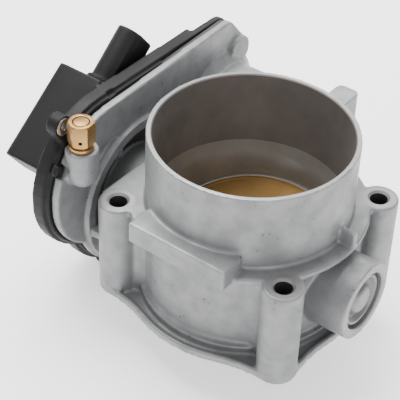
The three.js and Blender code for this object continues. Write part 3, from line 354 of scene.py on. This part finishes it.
# A finish whose colour and gloss drift slightly over the surface, with grain and pits in relief.
def finish(
    name, light, dark, metallic, gloss, relief,
    grain=1800.0, cloud=60.0, pit_size=260.0, pits=0.08, shine=0.5,
):
    material = bpy.data.materials.new(name)
    material.use_nodes = True
    nodes, link = material.node_tree.nodes, material.node_tree.links.new
    shader = nodes["Principled BSDF"]
    shader.inputs["Metallic"].default_value = metallic
    shader.inputs["Specular IOR Level"].default_value = shine
    place = nodes.new("ShaderNodeTexCoord")
    texture = nodes.new("ShaderNodeGroup")
    texture.node_tree = skin
    texture.name = "skin"
    sizes = {"Grain Size": grain, "Cloud Size": cloud, "Pit Size": pit_size, "Pit Amount": pits}
    for key, value in sizes.items():
        texture.inputs[key].default_value = value
    tint = nodes.new("ShaderNodeMix")
    tint.data_type = "RGBA"
    tint.name = "tint"
    tint.inputs[6].default_value = (*light, 1)
    tint.inputs[7].default_value = (*dark, 1)
    pitted = nodes.new("ShaderNodeMix")
    pitted.data_type = "RGBA"
    pitted.name = "pitted"
    pitted.inputs[7].default_value = (*[c * 0.45 for c in dark], 1)
    rough = nodes.new("ShaderNodeMapRange")
    rough.name = "rough"
    rough.inputs["To Min"].default_value = gloss[0]
    rough.inputs["To Max"].default_value = gloss[1]
    bump = nodes.new("ShaderNodeBump")
    bump.name = "bump"
    bump.inputs["Strength"].default_value = relief
    bump.inputs["Distance"].default_value = 0.0002
    link(place.outputs["Object"], texture.inputs["Place"])
    link(texture.outputs["Cloud"], tint.inputs[0])
    link(tint.outputs[2], pitted.inputs[6])
    link(texture.outputs["Pits"], pitted.inputs[0])
    link(pitted.outputs[2], shader.inputs["Base Color"])
    link(texture.outputs["Cloud"], rough.inputs["Value"])
    link(rough.outputs["Result"], shader.inputs["Roughness"])
    link(texture.outputs["Height"], bump.inputs["Height"])
    link(bump.outputs["Normal"], shader.inputs["Normal"])
    return material


cast_skin = finish(
    "cast_aluminium_skin", (0.24, 0.243, 0.247), (0.2, 0.203, 0.207), 0.45, (0.42, 0.56), 0.5,
    cloud=150.0, pit_size=330.0, pits=0.17,
)
inlet_bore = finish(
    "inlet_bore", (0.2, 0.182, 0.17), (0.155, 0.14, 0.131), 0.55, (0.42, 0.52), 0.2,
    grain=900.0,
)
milled = finish(
    "milled_face", (0.26, 0.26, 0.262), (0.21, 0.21, 0.212), 0.6, (0.38, 0.48), 0.2,
    grain=2500.0, pits=0.03,
)
throttle_bore = finish(
    "throttle_bore", (0.36, 0.345, 0.32), (0.3, 0.285, 0.265), 0.6, (0.32, 0.42), 0.15,
    grain=900.0,
)
# Near-black painted shade for the deep recess round the shaft neck in the gear case and for the walls of the
# bolt holes, where shade falls.
painted_shade = finish("shaded_recess", (0.05, 0.05, 0.05), (0.03, 0.03, 0.03), 0.3, (0.5, 0.6), 0.4)

cast_faces, inlet_faces, milled_faces, throttle_faces, painted_shade_faces = range(5)
for material in (cast_skin, inlet_bore, milled, throttle_bore, painted_shade):
    casting.data.materials.append(material)
for face in casting.data.polygons:
    x, y, z = face.center * 1000
    nx, ny, nz = face.normal
    reach = math.hypot(x, y)
    off_shaft = math.hypot(y, z - shaft_axis.z)
    off_bolt = min(math.hypot(x - u, y - v) for u, v in bolt_places)
    if reach < inlet_radius + 0.5 and nz < 0.8:
        face.material_index = throttle_faces if z < 45.6 else inlet_faces
    elif z > height - 0.3 and nz > 0.8:
        face.material_index = milled_faces
    elif abs(z - seat_z) < 0.1 and nz > 0.9 and off_bolt < 7.1:
        face.material_index = milled_faces
    # The walls of the bolt holes get the painted shade; the ring just round each hole is milled.
    elif off_bolt < bolt_radius + 1.05 and z < boss_top - 0.05:
        face.material_index = painted_shade_faces if off_bolt < bolt_radius + 0.2 else milled_faces
    elif x > plug_face - 0.7 and nx > 0.6:
        face.material_index = milled_faces
    # The recess between the shaft neck and the ring of the gear case gets the painted shade.
    elif 19 < off_shaft < 30.5 and -66 < x < -57.4:
        face.material_index = painted_shade_faces
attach(casting, "body")
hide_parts("housing")


# ---- Gear cover and its connector ----
# A black glass-filled nylon moulding with satin skin, screwed and clipped over the gear case. The slanted box
# on it holds the electronics, and the oval shroud is where the harness plugs in.
cover = bare_copy("gear_cover", "moulded_cover")
take_modifier(cover, "REMESH", mode="VOXEL", voxel_size=0.0005, adaptivity=0)
take_modifier(cover, "SMOOTH", factor=0.5, iterations=9)
take_modifier(cover, "DECIMATE", ratio=0.28)
smooth_by(cover, 40)
black_nylon = finish(
    "black_nylon", (0.0085, 0.0085, 0.0093), (0.006, 0.006, 0.0065), 0.0, (0.45, 0.6), 0.45,
    grain=2200.0, cloud=45.0, pits=0.0, shine=0.2,
)
cover.data.materials.append(black_nylon)
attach(cover, "body")
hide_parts("gear_cover")


# ---- Every other part keeps its shape ----
# Bright steel, brass, gear nylon, rubber and copper parts as they come from their own makers.
zinc = finish(
    "bright_zinc", (0.46, 0.46, 0.47), (0.38, 0.38, 0.39), 0.95, (0.22, 0.34), 0.15,
    grain=2600.0, pits=0.02,
)
brass = finish(
    "turned_brass", (0.40, 0.235, 0.085), (0.30, 0.17, 0.06), 0.85, (0.3, 0.42), 0.12,
    grain=2600.0, pits=0.02,
)
plate_metal = finish(
    "plate_brass", (0.27, 0.155, 0.05), (0.19, 0.11, 0.036), 0.8, (0.3, 0.42), 0.2,
    grain=1500.0, pits=0.03,
)
nylon = finish("gear_nylon", (0.66, 0.62, 0.50), (0.58, 0.54, 0.43), 0.0, (0.4, 0.5), 0.2, pits=0.0)
black_rubber = finish("seal_rubber", (0.02, 0.02, 0.02), (0.03, 0.03, 0.03), 0.0, (0.6, 0.75), 0.3, pits=0.0)
green_board = finish("green_board", (0.02, 0.12, 0.06), (0.015, 0.09, 0.045), 0.0, (0.3, 0.4), 0.15, pits=0.0)
sintered = finish(
    "sintered_magnet", (0.10, 0.10, 0.105), (0.07, 0.07, 0.075), 0.8, (0.45, 0.55), 0.4,
    grain=1200.0,
)
copper = finish("wound_copper", (0.62, 0.29, 0.15), (0.52, 0.23, 0.11), 1.0, (0.3, 0.4), 0.5, grain=700.0)
finishes = {
    "steel": zinc,
    "brass": brass,
    "plate_brass": plate_metal,
    "gear_plastic": nylon,
    "rubber": black_rubber,
    "circuit_board": green_board,
    "magnet": sintered,
    "copper": copper,
    "black_plastic": black_nylon,
    "cast_aluminium": cast_skin,
}
slots = {entry["node"]: entry["material_slot"] for entry in frame["record"]["subparts"]}
for name, node in frame["nodes"].items():
    for holder in node.material_slots:
        holder.material = finishes[slots[name]]


# ---- Butterfly ----
# A brass disc stamped flat and turned at the rim, screwed into the slot of the cross shaft. It sits a few
# degrees off square when at rest.
rest_tilt = math.radians(9.5)
plate_axis = Vector((0, -math.sin(rest_tilt), math.cos(rest_tilt)))
plate_middle = Vector((0, 0, shaft_axis.z))
screw_offset = 14
plate = spun(
    "butterfly_disc",
    [
        (0, -1), (36.5, -1), (37.25, -0.3), (37.25, 0.45), (36.9, 0.95), (35.6, 1.0),
        (35.4, 0.85), (35.2, 0.85), (35.0, 1.0), (0, 1.0),
    ],
    plate_middle, plate_axis, 192,
)
for x in (-screw_offset, screw_offset):
    middle = plate_middle + Vector((x, 0, 0))
    carve(plate, rod(2.0, middle - 3 * plate_axis, middle + 3 * plate_axis, 32), "DIFFERENCE")
smooth_by(plate, 30)
plate.data.materials.append(plate_metal)
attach(plate, "throttle")
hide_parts("throttle_plate")


# ---- Bearing plug ----
# A pressed steel cup that closes the shaft's end bearing. Its middle stands up as a round button inside a
# shallow channel.
plug = spun(
    "pressed_plug",
    [
        (0, 52.75), (11.2, 52.75), (11.25, 53.0), (11.25, 56.6), (10.9, 57.0), (10.3, 57.0), (9.8, 56.6),
        (9.2, 54.7), (8.6, 54.4), (7.2, 54.4), (6.6, 54.8), (6.0, 56.6), (5.0, 57.3), (3.4, 57.6), (0, 57.7),
    ],
    (0, 0, shaft_axis.z), (1, 0, 0), 96,
)
smooth_by(plug, 50)
dull_steel = finish(
    "dull_steel", (0.24, 0.24, 0.238), (0.19, 0.19, 0.188), 0.7, (0.36, 0.48), 0.25,
    grain=1600.0,
)
plug.data.materials.append(dull_steel)
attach(plug, "body")
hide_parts("bearing_plug")


# ---- Brass vent ----
# A turned and milled brass hexagon on a round collar, pressed into its cast boss, with a core pushed in from
# the top. Every edge carries the small chamfer left by the tool.
def edge_and_finish(piece, width, material):
    take_modifier(
        piece, "BEVEL",
        width=width, segments=2, limit_method="ANGLE", angle_limit=math.radians(35),
    )
    smooth_by(piece, 32)
    piece.data.materials.append(material)


for node, width in (("vent_body", 0.00018), ("vent_core", 0.00012)):
    piece = bare_copy(node, "turned_" + node)
    edge_and_finish(piece, width, brass)
    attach(piece, "body")
    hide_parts(node)


# ---- Cover screws and the bush in the spare eye ----
# Zinc-plated steel screws with a hexagon socket, and a plain steel sleeve pressed into the cover.
for node in ("cover_screw_1", "cover_screw_2", "cover_screw_3", "eye_bush"):
    piece = bare_copy(node, "plated_" + node)
    edge_and_finish(piece, 0.0002, zinc)
    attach(piece, "body")
    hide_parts(node)
